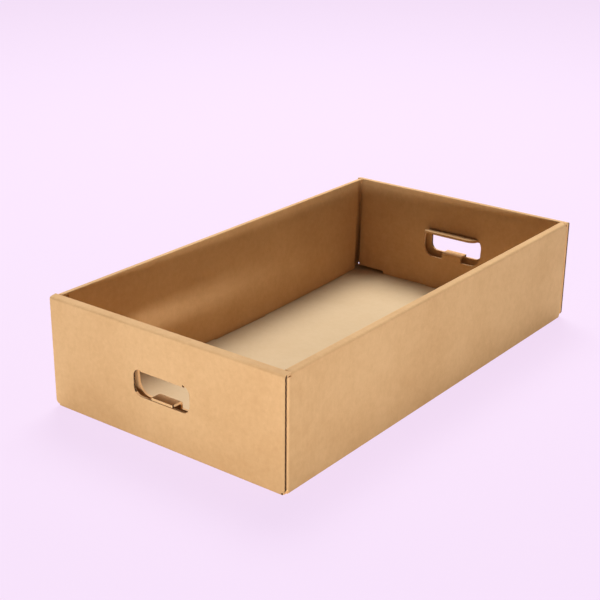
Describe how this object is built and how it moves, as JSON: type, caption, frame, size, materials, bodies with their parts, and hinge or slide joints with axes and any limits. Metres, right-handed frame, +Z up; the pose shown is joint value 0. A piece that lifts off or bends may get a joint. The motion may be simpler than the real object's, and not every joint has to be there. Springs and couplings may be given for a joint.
{
  "type": "cardboard tray box",
  "caption": "Open shallow tray of corrugated cardboard, folded from one sheet, with rolled-over double walls and a hand hole in each end wall.",
  "frame": {"origin": "on the ground under the middle of the tray", "axes": "+X along the tray's length, +Y across it, +Z up"},
  "size_m": [0.6, 0.33, 0.1348],
  "materials": {
    "board": "uncoated brown kraft liner, matt"
  },
  "bodies": {
    "root": {"tray": "board"}
  },
  "joints": []
}
